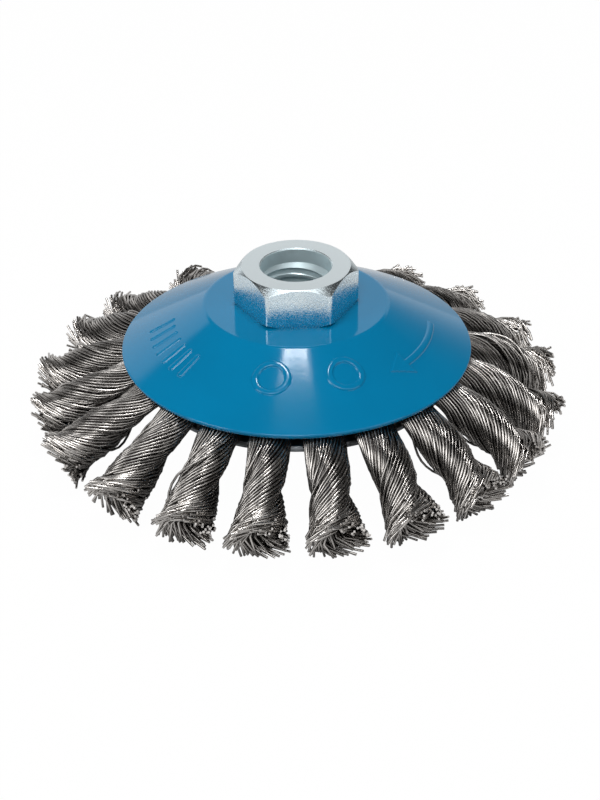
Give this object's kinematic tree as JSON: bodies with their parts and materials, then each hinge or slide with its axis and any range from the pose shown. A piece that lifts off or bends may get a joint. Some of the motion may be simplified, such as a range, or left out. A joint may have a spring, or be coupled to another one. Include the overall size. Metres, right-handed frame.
{
  "type": "knotted bevel wire brush",
  "caption": "Knotted bevel wire brush for an angle grinder: threaded hub nut, painted dished cover, wire holder, backing plate and a ring of twisted steel wire knots.",
  "frame": {"origin": "on the spindle axis, at the height of the lowest knot tips, on which the brush stands", "axes": "+Z along the spindle axis, out of the threaded mouth of the hub nut; -Y is the front of the picture"},
  "size_m": [0.1084, 0.1085, 0.0361],
  "materials": {
    "zinc_steel": "bright zinc plated steel, turned faces, slightly pitted flats",
    "blue_paint": "gloss blue enamel on pressed sheet steel",
    "black_steel": "dark oiled sheet steel",
    "plated_steel": "zinc plated sheet steel",
    "steel_wire": "dark drawn carbon steel wire, oiled, with bright cut ends"
  },
  "bodies": {
    "root": {"hub_nut": "zinc_steel", "cover": "blue_paint", "wire_holder": "black_steel", "backing_plate": "plated_steel", "knot_01": "steel_wire", "knot_02": "steel_wire", "knot_03": "steel_wire", "knot_04": "steel_wire", "knot_05": "steel_wire", "knot_06": "steel_wire", "knot_07": "steel_wire", "knot_08": "steel_wire", "knot_09": "steel_wire", "knot_10": "steel_wire", "knot_11": "steel_wire", "knot_12": "steel_wire", "knot_13": "steel_wire", "knot_14": "steel_wire", "knot_15": "steel_wire", "knot_16": "steel_wire", "knot_17": "steel_wire", "knot_18": "steel_wire", "knot_19": "steel_wire", "knot_20": "steel_wire"}
  },
  "joints": []
}
